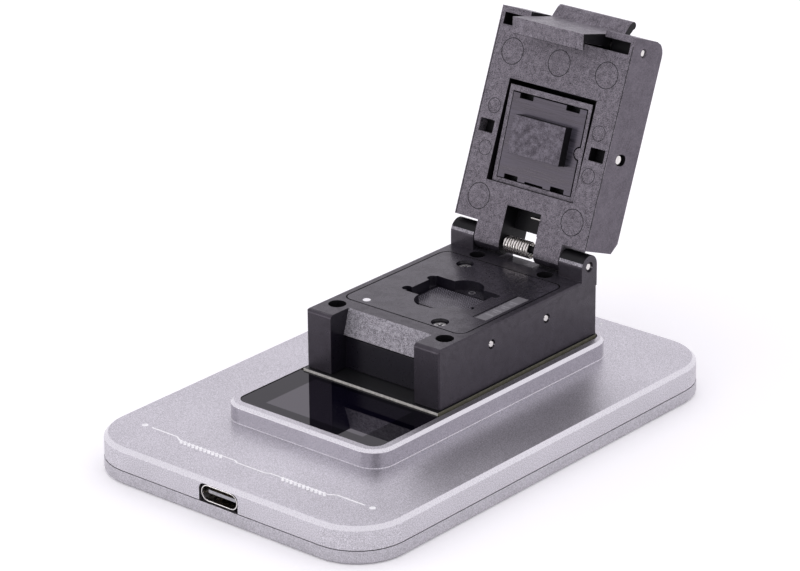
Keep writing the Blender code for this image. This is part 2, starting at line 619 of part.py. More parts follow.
def build_latch(surface, steel, lid_axis):
    pin = turned_x(LATCH_D, LATCH_H, ((PIN_R - 0.15, -PIN_HALF_X), (PIN_R, -PIN_HALF_X + 0.15),
                                      (PIN_R, PIN_HALF_X - 0.15), (PIN_R - 0.15, PIN_HALF_X)))
    lid_origin = (0.0, AXIS_D, AXIS_H)
    piece("latch_pin", pin, steel, parent=lid_axis, origin=lid_origin)
    latch_axis = axis_empty("latch_axis", (0.0, LATCH_D - AXIS_D, LATCH_H - AXIS_H), 0.0, lid_axis)
    origin = (0.0, LATCH_D, LATCH_H)
    hook = [(39.05, 5.3), (37.45, 5.3), (37.45, 5.45), (40.62, 6.5), (41.25, 1.5), (42.0, -5.2),
            (42.35, -7.2), (41.9, -7.6), (40.9, -7.1), (40.3, -5.6), (38.3, -5.1), (37.9, -4.0),
            (38.0, -2.4), (38.7, -1.6), (39.05, -0.5)]
    tab = [(41.7, -6.4), (42.45, -6.7), (44.2, -7.75), (44.75, -8.35), (44.85, -8.95), (44.6, -9.5),
           (44.1, -9.75), (43.55, -9.6), (43.2, -9.1), (41.5, -7.9)]
    body = along_x(hook, -LATCH_HALF_X, LATCH_HALF_X)
    thumb = along_x(tab, -TAB_HALF_X, TAB_HALF_X)
    bore = turned_x(LATCH_D, LATCH_H, ((PIN_R + RUN, -TAB_HALF_X - 1.0), (PIN_R + RUN, TAB_HALF_X + 1.0)))
    spring_gap = block(-LATCH_SPRING_HALF_X, LATCH_SPRING_HALF_X, 36.0, 41.15, -6.4, -1.2)
    piece("latch", body, surface, adds=[thumb], cuts=[bore, spring_gap], parent=latch_axis, origin=origin)
    start = Vector((-LATCH_SPRING_HALF_X + 0.4, LATCH_D, LATCH_H))
    spring = coil(start, Vector((1, 0, 0)), Vector((0, -1, 0)), 2 * LATCH_SPRING_HALF_X - 0.8,
                  1.05, 0.2, 5, steps=8)
    piece("latch_spring", spring, steel, parent=lid_axis, origin=lid_origin)


def key_outline(radius):
    """The half-round key on the frame's right rim that keeps the insert the right way round."""
    return arc(KEY_X, KEY_D, radius, 90, 270, 10) + [(KEY_X + 0.4, KEY_D - radius),
                                                     (KEY_X + 0.4, KEY_D + radius)]


def build_pressure(surface, insert_surface, steel, lid_axis):
    axis = axis_empty("pressure_axis", (0.0, PRESS_D - AXIS_D, PRESS_H - AXIS_H), 0.0, lid_axis)
    origin = (0.0, PRESS_D, PRESS_H)
    pin = turned_x(PRESS_D, PRESS_H, ((PRESS_PIN_R - 0.15, -16.2), (PRESS_PIN_R, -16.05),
                                      (PRESS_PIN_R, 16.05), (PRESS_PIN_R - 0.15, 16.2)))
    piece("pressure_pin", pin, steel, parent=axis, origin=origin)
    for side, word in ((-1, "left"), (1, "right")):
        spring = coil(Vector((side * PRESS_SPRING_X, PRESS_D, -8.1)), Vector((0, 0, 1)),
                      Vector((1, 0, 0)), 2.55, PRESS_SPRING_R - 0.2, 0.2, 3, steps=8)
        piece(f"pressure_spring_{word}", spring, steel, parent=axis, origin=origin)
    tilt = axis_empty("tilt_axis", (0.0, 0.0, 0.0), FRAME_TILT, axis)
    frame = block(-FRAME_HALF_X, FRAME_HALF_X, *FRAME_D, FRAME_BACK_H, FRAME_FACE_H)
    seat = block(-INSERT_HALF_X - GAP, INSERT_HALF_X + INSERT_GAP, INSERT_D[0] - GAP,
                 INSERT_D[1] + INSERT_GAP, FRAME_FACE_H - INSERT_T - GAP, 1.0)
    pin_bore = turned_x(PRESS_D, PRESS_H, ((PRESS_PIN_R + RUN, -12.0), (PRESS_PIN_R + RUN, 12.0)))
    made = piece("pressure_frame", frame, surface, cuts=[seat, pin_bore], parent=tilt, origin=origin)
    low = FRAME_FACE_H - INSERT_T
    boolean(made, along_z(key_outline(KEY_R), low - 0.3, FRAME_FACE_H), "UNION", origin)
    plate = block(-INSERT_HALF_X, INSERT_HALF_X, *INSERT_D, low, FRAME_FACE_H)
    pusher = block(-PUSHER_HALF_X, PUSHER_HALF_X, *PUSHER_D, low + 0.5, PUSHER_H)
    notches = [block(*sorted((side * 4.1, side * 7.35)), *span, low - 1.0, 1.0)
               for side in (-1, 1) for span in ((25.5, 27.0), (9.0, 10.3))]
    slot = block(-2.2, 2.2, 9.0, 9.75, low - 1.0, 1.0)
    key_recess = along_z(key_outline(KEY_R + INSERT_GAP), low - 1.0, 1.0)
    piece("pusher_insert", plate, insert_surface, adds=[pusher], cuts=notches + [slot, key_recess],
          parent=tilt, origin=origin)


# ---------------------------------------------------------------- assembly

def build():
    clear_scene()
    aluminium = material("silver_aluminium", (0.62, 0.61, 0.64), 0.42, 1.0)
    steel = material("bright_steel", (0.72, 0.72, 0.70), 0.22, 1.0)
    charcoal = material("charcoal_plastic", (0.035, 0.033, 0.037), 0.5)
    satin = material("satin_charcoal", (0.045, 0.043, 0.048), 0.38)
    black = material("black_plastic", (0.012, 0.012, 0.013), 0.4)
    glass = material("black_glass", (0.008, 0.008, 0.009), 0.04)
    board = material("tan_board", (0.36, 0.31, 0.2), 0.6)
    build_bottom_cover(aluminium)
    build_top_cover(aluminium)
    build_case_screws(steel)
    build_usb(steel, black)
    build_display(glass, black)
    build_boards(board, black)
    build_socket_base(charcoal)
    build_base_hardware(steel, black)
    build_adapter_plate(satin, steel)
    build_hinge(steel)
    lid_axis = axis_empty("lid_axis", (0.0, HINGE_Y, HINGE_Z), 90.0 - LID_LEAN)
    build_lid(charcoal, lid_axis)
    build_hinge_spring(steel, lid_axis)
    build_latch(charcoal, steel, lid_axis)
    build_pressure(charcoal, satin, steel, lid_axis)


build()
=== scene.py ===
"""Looks of the bench programmer: bead-blasted case, black glass, moulded clamshell socket.

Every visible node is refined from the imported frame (edges broken, faces smoothed) and gets a
procedural material. Sizes are in millimetres, turned into metres by MM. Case axes are X right,
Y back and Z up. Lid axes are X right, D from the hinge edge to the latch edge, and H out of the
inner face.
"""

import json
import math
from types import SimpleNamespace

import bmesh
import bpy
from mathutils import Matrix, Vector


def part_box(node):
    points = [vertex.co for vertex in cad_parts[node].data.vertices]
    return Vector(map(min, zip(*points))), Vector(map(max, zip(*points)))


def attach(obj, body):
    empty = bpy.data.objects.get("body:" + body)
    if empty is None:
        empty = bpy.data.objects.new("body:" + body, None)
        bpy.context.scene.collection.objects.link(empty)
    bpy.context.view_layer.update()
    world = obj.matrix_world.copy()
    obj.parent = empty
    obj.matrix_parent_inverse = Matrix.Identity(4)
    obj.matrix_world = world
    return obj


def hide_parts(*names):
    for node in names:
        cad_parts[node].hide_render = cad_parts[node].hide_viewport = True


MM = 0.001
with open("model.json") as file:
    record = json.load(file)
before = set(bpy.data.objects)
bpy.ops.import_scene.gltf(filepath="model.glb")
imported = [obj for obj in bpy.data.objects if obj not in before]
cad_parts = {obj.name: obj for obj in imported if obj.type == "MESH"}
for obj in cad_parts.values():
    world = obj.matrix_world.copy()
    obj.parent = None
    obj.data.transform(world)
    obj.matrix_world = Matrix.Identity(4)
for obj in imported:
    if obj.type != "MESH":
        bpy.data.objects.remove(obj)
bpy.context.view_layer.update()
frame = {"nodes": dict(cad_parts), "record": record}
record = frame["record"]
body_of = {node: body for body, nodes in record["behaviour"]["bodies"].items() for node in nodes}

# The lid's lean when open, and the hinge axis in lid axes
LID_LEAN = 21.0
AXIS_D = -2.98
AXIS_H = -2.35
HINGE = next(j["pos_m"] for j in record["behaviour"]["joints"] if j["name"] == "lid_hinge")

# From case axes and lid axes, in millimetres, to the frame
CASE_AXES = Matrix.Scale(MM, 4)
LID_AXES = (Matrix.Translation(Vector(HINGE)) @ Matrix.Rotation(math.radians(90.0 - LID_LEAN), 4, "X")
            @ Matrix.Scale(MM, 4) @ Matrix.Translation((0.0, -AXIS_D, -AXIS_H)))
LID_INVERSE = LID_AXES.inverted()

X_AXIS = Vector((1.0, 0.0, 0.0))
Y_AXIS = Vector((0.0, 1.0, 0.0))
Z_AXIS = Vector((0.0, 0.0, 1.0))

# Heights of the slab, of the floating plate and of the seat under it
SLAB_TOP = 7.35
PLATE_TOP = 23.55
SEAT_TOP = 21.55


# ---------------------------------------------------------------- camera

CAMERA_AT = (416.35, -490.57, 294.77)
CAMERA_TURN = 40.415
CAMERA_TILT = 22.418
CAMERA_ROLL = -0.475
CAMERA_LENS = 165.8
SENSOR_WIDTH = 36.0
CLIP_METRES = (0.01, 20.0)


def add_camera():
    """The camera, turned right of the front, tilted down and rolled by angles in degrees."""
    turn = math.radians(CAMERA_TURN)
    tilt = math.radians(CAMERA_TILT)
    roll = math.radians(CAMERA_ROLL)
    back = Vector((math.sin(turn) * math.cos(tilt), -math.cos(turn) * math.cos(tilt), math.sin(tilt)))
    right = Vector((math.cos(turn), math.sin(turn), 0.0))
    up = back.cross(right)
    across = right * math.cos(roll) + up * math.sin(roll)
    upright = up * math.cos(roll) - right * math.sin(roll)
    lens = bpy.data.cameras.new("camera")
    lens.lens = CAMERA_LENS
    lens.sensor_width = SENSOR_WIDTH
    lens.clip_start, lens.clip_end = CLIP_METRES
    camera = bpy.data.objects.new("camera", lens)
    bpy.context.scene.collection.objects.link(camera)
    turned = Matrix((across, upright, back)).transposed().to_4x4()
    camera.matrix_world = Matrix.Translation(Vector(CAMERA_AT) * MM) @ turned
    bpy.context.scene.camera = camera


# ---------------------------------------------------------------- material nodes

# Noise below the first number counts as 0, and above the second as 1
WIDE = (0.3, 0.7)
MEDIUM = (0.35, 0.65)
NARROW = (0.38, 0.62)
MOTTLED = (0.4, 0.62)
SMEARED = (0.4, 0.7)

NEUTRAL_GLOSS = (1.0, 1.0, 1.0)
PURPLE_GLOSS = (0.97, 0.86, 1.0)
GLASS_ROUGHNESS = 0.01


class Shader:
    """A Principled material with short helpers for its nodes."""

    def __init__(self, name, colour, roughness, metallic=0.0, specular=0.5, gloss=NEUTRAL_GLOSS):
        self.made = bpy.data.materials.new(name)
        self.made.use_nodes = True
        self.tree = self.made.node_tree
        self.surface = self.tree.nodes["Principled BSDF"]
        self.surface.inputs["Base Color"].default_value = (*colour, 1.0)
        self.surface.inputs["Roughness"].default_value = roughness
        self.surface.inputs["Metallic"].default_value = metallic
        self.surface.inputs["Specular IOR Level"].default_value = specular
        self.surface.inputs["Specular Tint"].default_value = (*gloss, 1.0)
        self.place = self.tree.nodes.new("ShaderNodeTexCoord").outputs["Object"]

    def link(self, source, target):
        self.tree.links.new(source, target)

    def noise(self, size, detail=2.0, roughness=0.5, stretch=(1.0, 1.0, 1.0)):
        """Noise whose features are about size millimetres across."""
        mapping = self.tree.nodes.new("ShaderNodeMapping")
        mapping.inputs["Scale"].default_value = stretch
        self.link(self.place, mapping.inputs["Vector"])
        node = self.tree.nodes.new("ShaderNodeTexNoise")
        node.inputs["Scale"].default_value = 1.0 / (size * MM)
        node.inputs["Detail"].default_value = detail
        node.inputs["Roughness"].default_value = roughness
        self.link(mapping.outputs["Vector"], node.inputs["Vector"])
        return node.outputs["Fac"]

    def mixed(self, first, second, share):
        """A mix of two values, with the given share of the second."""
        node = self.tree.nodes.new("ShaderNodeMix")
        node.inputs[0].default_value = share
        self.link(first, node.inputs[2])
        self.link(second, node.inputs[3])
        return node.outputs[0]

    def vary_colour(self, value, dark, light, span=WIDE):
        """Colour the surface from dark to light as the value goes through the span."""
        node = self.tree.nodes.new("ShaderNodeValToRGB")
        for element, position, tone in zip(node.color_ramp.elements, span, (dark, light)):
            element.position = position
            element.color = (*tone, 1.0)
        self.link(value, node.inputs["Fac"])
        self.link(node.outputs["Color"], self.surface.inputs["Base Color"])

    def vary_roughness(self, value, low, high, span=WIDE):
        """Make the surface's roughness go from low to high as the value goes through the span."""
        node = self.tree.nodes.new("ShaderNodeMapRange")
        node.inputs["From Min"].default_value, node.inputs["From Max"].default_value = span
        node.inputs["To Min"].default_value = low
        node.inputs["To Max"].default_value = high
        self.link(value, node.inputs["Value"])
        self.link(node.outputs["Result"], self.surface.inputs["Roughness"])

    def bump(self, height, distance):
        """Bumps of the given distance in millimetres."""
        node = self.tree.nodes.new("ShaderNodeBump")
        node.inputs["Distance"].default_value = distance * MM
        node.inputs["Strength"].default_value = 1.0
        self.link(height, node.inputs["Height"])
        self.link(node.outputs["Normal"], self.surface.inputs["Normal"])


def shade(colour, factor):
    return tuple(min(1.0, channel * factor) for channel in colour)


def aluminium(name, colour, roughness, grain, contrast, depth):
    """Anodised aluminium: fine blasted grain with faint clouding."""
    made = Shader(name, colour, roughness, metallic=1.0)
    fine = made.noise(grain, roughness=0.75)
    cloud = made.noise(11.0, detail=1.0)
    both = made.mixed(fine, cloud, 0.07)
    made.vary_colour(both, shade(colour, 1.0 - contrast), shade(colour, 1.0 + contrast), NARROW)
    made.vary_roughness(both, roughness - 0.05, roughness + 0.05, MEDIUM)
    made.bump(fine, depth)
    return made.made


def moulded(name, dark, light, roughness, grain=0.3, depth=0.02, mottle=1.8, patchy=0.45):
    """Glass-filled moulding: mottled gloss with fine grain."""
    made = Shader(name, dark, roughness, gloss=PURPLE_GLOSS)
    fine = made.noise(grain, detail=3.0, roughness=0.75)
    patch = made.noise(mottle, detail=3.0, roughness=0.6)
    both = made.mixed(fine, patch, patchy)
    made.vary_colour(both, dark, light, MOTTLED)
    made.vary_roughness(both, roughness + 0.1, roughness - 0.08, NARROW)
    made.bump(both, depth)
    return made.made


def streaked(name, colour, roughness, stretch, contrast, depth):
    """Machined plastic: faint straight tool marks in wider bands."""
    made = Shader(name, colour, roughness, gloss=PURPLE_GLOSS)
    lines = made.noise(0.35, detail=3.0, roughness=0.6, stretch=stretch)
    cloud = made.noise(2.0, stretch=stretch)
    both = made.mixed(lines, cloud, 0.4)
    made.vary_colour(both, shade(colour, 1.0 - contrast), shade(colour, 1.0 + contrast), NARROW)
    made.vary_roughness(both, roughness - 0.05, roughness + 0.07, MEDIUM)
    made.bump(lines, depth)
    return made.made


def bright_metal(name, colour, roughness):
    """Drawn steel: nearly smooth, with faint clouding."""
    made = Shader(name, colour, roughness, metallic=1.0)
    cloud = made.noise(0.9)
    made.vary_colour(cloud, shade(colour, 0.86), colour)
    made.vary_roughness(cloud, roughness - 0.03, roughness + 0.05)
    made.bump(cloud, 0.0008)
    return made.made


def plain(name, colour, roughness, grain=0.5, depth=0.006, specular=0.5):
    """An even surface with a faint grain."""
    made = Shader(name, colour, roughness, specular=specular)
    fine = made.noise(grain, detail=3.0)
    made.vary_colour(fine, shade(colour, 0.8), shade(colour, 1.2))
    made.vary_roughness(fine, roughness - 0.03, roughness + 0.04)
    made.bump(fine, depth)
    return made.made


def cover_glass(name, colour, specular):
    """Black glass with faint smears."""
    made = Shader(name, colour, GLASS_ROUGHNESS, specular=specular, gloss=PURPLE_GLOSS)
    made.vary_roughness(made.noise(14.0), GLASS_ROUGHNESS, GLASS_ROUGHNESS + 0.02, SMEARED)
    return made.made


# ---------------------------------------------------------------- meshes

SHARP_ANGLE = 32.0
BEVEL_STEPS = 2
# How near two corners are one, and how flat two faces are one
WELD = 0.002
FLAT_ANGLE = 0.6


def arc(cx, cy, radius, start, end, steps):
    angles = [math.radians(start + (end - start) * i / steps) for i in range(steps + 1)]
    return [(cx + radius * math.cos(a), cy + radius * math.sin(a)) for a in angles]


def circle(cx, cy, radius, steps):
    return arc(cx, cy, radius, 0.0, 360.0, steps)[:-1]


def rectangle(x0, x1, y0, y1):
    return [(x0, y0), (x1, y0), (x1, y1), (x0, y1)]


def add_prism(mesh, outline, low, high, shrink=0.0):
    """An (x, y) outline raised from low to high; its top can be shrunk towards its middle."""
    cx = sum(x for x, _ in outline) / len(outline)
    cy = sum(y for _, y in outline) / len(outline)
    keep = 1.0 - shrink
    below = [mesh.verts.new((x, y, low)) for x, y in outline]
    above = [mesh.verts.new((cx + (x - cx) * keep, cy + (y - cy) * keep, high)) for x, y in outline]
    faces = [mesh.faces.new(list(reversed(below))), mesh.faces.new(above)]
    for i in range(len(outline)):
        j = (i + 1) % len(outline)
        faces.append(mesh.faces.new((below[i], below[j], above[j], above[i])))
    bmesh.ops.recalc_face_normals(mesh, faces=faces)


def skin(mesh, loops):
    """Faces from each closed loop of vertices to the next, and from the last to the first."""
    faces = []
    for one, two in zip(loops, loops[1:] + loops[:1]):
        for i in range(len(one)):
            j = (i + 1) % len(one)
            faces.append(mesh.faces.new((one[i], one[j], two[j], two[i])))
    bmesh.ops.recalc_face_normals(mesh, faces=faces)


def add_ring(mesh, cx, cy, inner, outer, low, high, steps=48):
    """A flat ring, square in section."""
    skin(mesh, [[mesh.verts.new((x, y, z)) for x, y in circle(cx, cy, radius, steps)]
                for radius, z in ((inner, low), (outer, low), (outer, high), (inner, high))])


def linked(name, mesh, axes):
    """An object from a bmesh in the given axes."""
    mesh.transform(axes)
    data = bpy.data.meshes.new(name)
    mesh.to_mesh(data)
    mesh.free()
    made = bpy.data.objects.new(name, data)
    bpy.context.scene.collection.objects.link(made)
    return made


def finish_piece(made, surface, body, angle=SHARP_ANGLE):
    """Give a piece its material, its shading and its body."""
    made.data.materials.append(surface)
    made.data.shade_smooth()
    made.data.set_sharp_from_angle(angle=math.radians(angle))
    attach(made, body)


def cleaned(node):
    """A bmesh of a node's solid with its flat faces joined up again."""
    mesh = bmesh.new()
    mesh.from_mesh(frame["nodes"][node].data)
    bmesh.ops.remove_doubles(mesh, verts=mesh.verts, dist=WELD * MM)
    bmesh.ops.dissolve_limit(mesh, angle_limit=math.radians(FLAT_ANGLE), verts=mesh.verts,
                             edges=mesh.edges, delimit={"NORMAL"})
    return mesh


def settle(made):
    """Apply a piece's modifiers."""
    graph = bpy.context.evaluated_depsgraph_get()
    data = bpy.data.meshes.new_from_object(made.evaluated_get(graph), depsgraph=graph)
    made.modifiers.clear()
    made.data = data


def refine(node, surface, width=0.0, extra=(), cuts=None, edge_slot=-1):
    """A piece with broken edges that stands for a node.

    extra holds (material, test) pairs: a face whose centre and normal pass the test, both in
    millimetres and case axes, gets that material. width is how wide the edges are broken, in
    millimetres. cuts is a bmesh in millimetres and case axes, taken out after the bevel.
    edge_slot is the material slot of the broken edges, or -1 for that of the faces beside them.
    """
    mesh = cleaned(node)
    for index, (_, test) in enumerate(extra, 1):
        for face in mesh.faces:
            if test(face.calc_center_median() / MM, face.normal):
                face.material_index = index
    made = linked(f"{node}_detail", mesh, Matrix.Identity(4))
    for material in (surface, *(other for other, _ in extra)):
        made.data.materials.append(material)
    if width:
        edge = made.modifiers.new("edge", "BEVEL")
        edge.width = width * MM
        edge.material = edge_slot
        edge.segments = BEVEL_STEPS
        edge.limit_method = "ANGLE"
        edge.angle_limit = math.radians(SHARP_ANGLE)
        edge.use_clamp_overlap = True
        edge.miter_outer = "MITER_ARC"
    cutter = None
    if cuts:
        cutter = linked(f"{node}_cuts", cuts, CASE_AXES)
        change = made.modifiers.new("cuts", "BOOLEAN")
        change.operation = "DIFFERENCE"
        change.object = cutter
        change.solver = "EXACT"
    settle(made)
    if cutter:
        bpy.data.objects.remove(cutter)
    made.data.shade_smooth()
    made.data.set_sharp_from_angle(angle=math.radians(SHARP_ANGLE))
    flat = made.modifiers.new("flat_faces", "WEIGHTED_NORMAL")
    flat.keep_sharp = True
    settle(made)
    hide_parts(node)
    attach(made, body_of[node])
    return made


def paint(made, slot, test):
    """Give a finished piece's faces that pass the test the material in one of its slots."""
    for face in made.data.polygons:
        if test(face.center / MM, face.normal):
            face.material_index = slot


# ---------------------------------------------------------------- springs

COIL_STEPS = 36
SPRING_WIRE = 0.2

# The hinge spring, in lid axes: its coil round the hinge pin
HINGE_WIRE = 0.235
COIL_R = 1.48
COIL_TURNS = 10
COIL_LEFT = -3.9
COIL_RIGHT = 2.3
COIL_DROP = 0.13
# Its short leg, and its long leg whose end is bent across
SHORT_LEG = 1.3
LEG_X = 1.3
LEG_D = 2.35
LEG_LIFT = 0.4
LEG_END_X = -0.4
BEND_R = 0.6
BEND_STEPS = 6

# Start, length, radius and turns of the other springs
LATCH_COIL = (Vector((-2.6, 39.5, -3.6)), 5.2, 1.05, 5)
PRESSURE_COIL_X = 5.0
PRESSURE_COIL = (Vector((0.0, 18.4, -8.1)), 2.55, 1.15, 3)
PLATE_COIL_AT = ((-12.0, 3.0), (12.0, 3.0), (-12.0, 25.5), (12.0, 25.5))
PLATE_COIL_Z = 17.8
PLATE_COIL = (2.6, 0.9, 3)


def coil_points(start, along, across, length, radius, turns):
    """Points of a coil from start, whose first point lies across from its axis."""
    side = along.cross(across)
    points = []
    for i in range(turns * COIL_STEPS + 1):
        angle = 2.0 * math.pi * i / COIL_STEPS
        ring = across * math.cos(angle) + side * math.sin(angle)
        points.append(start + along * (length * i / (turns * COIL_STEPS)) + ring * radius)
    return points


def wire_piece(node, points, radius, axes, surface):
    """A round wire through the points that stands for a spring node."""
    curve = bpy.data.curves.new(f"{node}_wire", "CURVE")
    curve.dimensions = "3D"
    curve.bevel_depth = radius * MM
    curve.bevel_resolution = 3
    curve.use_fill_caps = True
    spline = curve.splines.new("POLY")
    spline.points.add(len(points) - 1)
    for slot, point in zip(spline.points, points):
        slot.co = (*(axes @ point), 1.0)
    helper = bpy.data.objects.new(f"{node}_helper", curve)
    bpy.context.scene.collection.objects.link(helper)
    graph = bpy.context.evaluated_depsgraph_get()
    data = bpy.data.meshes.new_from_object(helper.evaluated_get(graph), depsgraph=graph)
    bpy.data.objects.remove(helper)
    data.name = f"{node}_wire"
    made = bpy.data.objects.new(f"{node}_wire", data)
    bpy.context.scene.collection.objects.link(made)
    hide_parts(node)
    finish_piece(made, surface, body_of[node])


def hinge_spring_points():
    """The hinge spring's short leg, coil and long leg."""
    middle = AXIS_D - COIL_DROP
    low = AXIS_H - COIL_R
    coil = coil_points(Vector((COIL_LEFT, middle, AXIS_H)), X_AXIS, -Z_AXIS,
                       COIL_RIGHT - COIL_LEFT, COIL_R, COIL_TURNS)
    leg = [(COIL_RIGHT + 0.3, middle + 1.6, low + 0.08), (COIL_RIGHT + 1.0, 0.6, low + 0.35)]
    for i in range(BEND_STEPS + 1):
        angle = math.pi * i / (2 * BEND_STEPS)
        leg.append((COIL_RIGHT + LEG_X - BEND_R * (1 - math.cos(angle)),
                    LEG_D + BEND_R * math.sin(angle), low + LEG_LIFT))
    leg.append((LEG_END_X, LEG_D + BEND_R, low + LEG_LIFT))
    return [Vector((COIL_LEFT, middle - SHORT_LEG, low))] + coil + [Vector(point) for point in leg]


def add_springs(steel):
    wire_piece("hinge_spring", hinge_spring_points(), HINGE_WIRE, LID_AXES, steel)
    start, *size = LATCH_COIL
    wire_piece("latch_spring", coil_points(start, X_AXIS, -Y_AXIS, *size), SPRING_WIRE, LID_AXES, steel)
    start, *size = PRESSURE_COIL
    for side, word in ((-1, "left"), (1, "right")):
        path = coil_points(start + X_AXIS * side * PRESSURE_COIL_X, Z_AXIS, X_AXIS, *size)
        wire_piece(f"pressure_spring_{word}", path, SPRING_WIRE, LID_AXES, steel)
    for number, (x, y) in enumerate(PLATE_COIL_AT, 1):
        path = coil_points(Vector((x, y, PLATE_COIL_Z)), Z_AXIS, X_AXIS, *PLATE_COIL)
        wire_piece(f"plate_spring_{number}", path, SPRING_WIRE, CASE_AXES, steel)


# ---------------------------------------------------------------- case and display

# The platform's outline
PLAT_HALF_X = 19.37
PLAT_FRONT = -31.2
PLAT_REAR = 39.6
PLAT_R = 4.5
CORNER_STEPS = 10
# The fillet at the platform's foot: distances outwards from its side and up from the slab
FILLET = 0.13
FILLET_SECTION = ((-0.03, -0.02), (FILLET, -0.02), (FILLET, 0.01), (0.01, FILLET), (-0.03, FILLET))
FILLET_ANGLE = 25.0
# How far an added piece reaches into the one under it
SINK = 0.02

# The display's active area: its half width, and its distances from the glass's front and rear
ACTIVE_HALF_X = 12.0
ACTIVE_FRONT = 2.55
ACTIVE_REAR = 1.7
ACTIVE_PROUD = 0.004

CONTACT_COUNT = 12
CONTACT_PITCH = 0.5
CONTACT_HALF = 0.13
CONTACT_PROUD = 0.02
# Where the contacts start and end behind the tongue's front
CONTACT_REACH = (0.25, 3.2)


# A test takes the centre of a face in millimetres and its normal, both in case axes. A normal's
# part along an axis is 1 for a face square to that axis, and 0 for a face along it.

def faces_up_or_down(centre, normal):
    return abs(normal.z) > 0.5


def faces_sideways(centre, normal):
    return abs(normal.x) > 0.7


def on_chamfer(centre, normal):
    """The chamfers of the slab and of the platform."""
    return 0.3 < normal.z < 0.9 and centre.z > 6.0


def on_platform_side(centre, normal):
    return abs(normal.z) < 0.3 and centre.z > SLAB_TOP


def platform_loop(grow, z):
    """A closed loop round the platform, grown sideways by grow."""
    x, front, rear = PLAT_HALF_X - PLAT_R, PLAT_FRONT + PLAT_R, PLAT_REAR - PLAT_R
    points = []
    for cx, cy, start in ((x, front, -90.0), (x, rear, 0.0), (-x, rear, 90.0), (-x, front, 180.0)):
        points += arc(cx, cy, PLAT_R + grow, start, start + 90.0, CORNER_STEPS)
    return [(px, py, z) for px, py in points]


def add_foot_fillet(metal):
    """The fine fillet where the platform rises from the slab."""
    mesh = bmesh.new()
    skin(mesh, [[mesh.verts.new(point) for point in platform_loop(grow, SLAB_TOP + rise)]
                for grow, rise in FILLET_SECTION])
    finish_piece(linked("platform_fillet", mesh, CASE_AXES), metal, "case",
                 FILLET_ANGLE)


def add_display(look):
    refine("display_glass", look.glass, 0.06)
    low, high = (Vector(corner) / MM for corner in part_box("display_glass"))
    mesh = bmesh.new()
    outline = rectangle(-ACTIVE_HALF_X, ACTIVE_HALF_X, low.y + ACTIVE_FRONT, high.y - ACTIVE_REAR)
    add_prism(mesh, outline, high.z - SINK, high.z + ACTIVE_PROUD)
    finish_piece(linked("display_active", mesh, CASE_AXES), look.active, "case")


def add_inlet(look):
    """The USB-C shell and its tongue with contacts on both sides."""
    refine("usb_c_shell", look.steel, 0.07)
    # The tongue's front and sides are painted light grey as a highlight; its faces up and down are
    # black.
    refine("usb_c_tongue", look.tongue, 0.06, extra=[(look.black, faces_up_or_down)])
    low, high = (Vector(corner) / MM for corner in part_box("usb_c_tongue"))
    start, end = (low.y + reach for reach in CONTACT_REACH)
    mesh = bmesh.new()
    for i in range(CONTACT_COUNT):
        x = CONTACT_PITCH * (i - (CONTACT_COUNT - 1) / 2)
        for base, top in ((high.z, high.z + CONTACT_PROUD), (low.z - CONTACT_PROUD, low.z)):
            add_prism(mesh, rectangle(x - CONTACT_HALF, x + CONTACT_HALF, start, end), base, top)
    finish_piece(linked("usb_contacts", mesh, CASE_AXES), look.gold, "case")


def add_case(look):
    refine("bottom_cover", look.cover_metal, 0.1)
    refine("top_cover", look.metal, 0.07,
           extra=[(look.edge_metal, on_chamfer), (look.machined, on_platform_side)])
    add_foot_fillet(look.metal)
    add_display(look)
    add_inlet(look)
    # The board's edge is tan at the front, with painted shade on its sides facing left and right; its
    # faces up and down are black.
    refine("socket_board", look.board_edge, 0.04,
           extra=[(look.board_top, faces_up_or_down), (look.board_side, faces_sideways)])
    refine("lcd_module", look.black)
    refine("main_board", look.board_top)
    refine("board_header_left", look.black)
    refine("board_header_right", look.black)
    for number in (1, 2, 3, 4):
        refine(f"case_screw_{number}", look.steel, 0.06)
        refine(f"socket_screw_{number}", look.steel, 0.06)
        refine(f"dowel_pin_{number}", look.steel)


# ---------------------------------------------------------------- print

# The Y of the line's ends, its first drop towards the front, and its second one in the middle
PRINT_Y = -42.7
PRINT_DROP = 0.85
PRINT_JOG = 0.5
# How far the print stands above the slab and reaches into it
PRINT_Z = 0.012
PRINT_SINK = 0.01
# Each stroke is this much higher than the one before, so that no two tops coincide
PRINT_STEP = 0.0006

END_DOT_X = 28.1
END_DOT_R = 0.62
REAR_DOT = (8.6, 49.9)
REAR_DOT_R = 0.45

# The X of the line's corners on each side, from its outer end inwards
LINE_END = 26.2
JOG_OUT = 19.8
JOG_IN = 18.3
STEP_OUT = 4.4
STEP_IN = 3.4
# The widths of the line's parts, and how far a stroke goes past its ends in widths
BOLD = 0.36
FINE = 0.3
MIDDLE = 0.32
OVERLAP = 0.3

# The hatching on each side: short slanted strokes one millimetre apart from HATCH_X outwards
HATCH_COUNT = 11
HATCH_X = 7.7
HATCH_LEAN = 0.45
HATCH_RISE = 0.1
HATCH_FALL = 0.85
HATCH_WIDTH = 0.54


